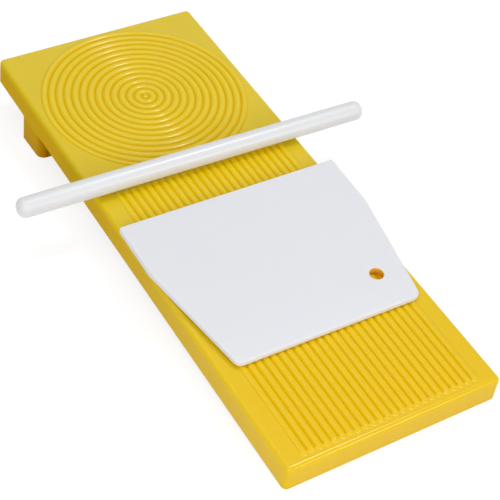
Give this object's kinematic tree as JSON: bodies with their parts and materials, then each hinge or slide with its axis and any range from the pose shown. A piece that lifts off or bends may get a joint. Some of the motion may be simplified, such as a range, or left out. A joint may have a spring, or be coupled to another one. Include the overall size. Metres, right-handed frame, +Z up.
{
  "type": "ribbed pasta shaping board",
  "caption": "Sloping moulded board with straight ribs and concentric rings for shaping pasta, with a loose rolling rod and a dough scraper that has a hanging hole.",
  "frame": {"origin": "on the table, under the middle of the board's foot", "axes": "+X across the board, +Y from its near edge towards the foot and the rings, +Z up from the table"},
  "size_m": [0.1454, 0.2193, 0.0269],
  "materials": {
    "board_plastic": "moulded, soft gloss, yellow",
    "rod_plastic": "moulded, soft gloss, white",
    "scraper_plastic": "moulded, satin, white"
  },
  "bodies": {
    "board": {"board": "board_plastic"},
    "rod": {"rod": "rod_plastic"},
    "scraper": {"scraper": "scraper_plastic"}
  },
  "joints": [
    {"name": "rod_roll", "type": "slide", "parent": "board", "child": "rod", "axis": [0, 0.9982, 0.06], "range_m": [-0.013, 0.075]},
    {"name": "scraper_lift", "type": "slide", "parent": "board", "child": "scraper", "axis": [0, -0.06, 0.9982], "range_m": [0, 0.06]}
  ]
}
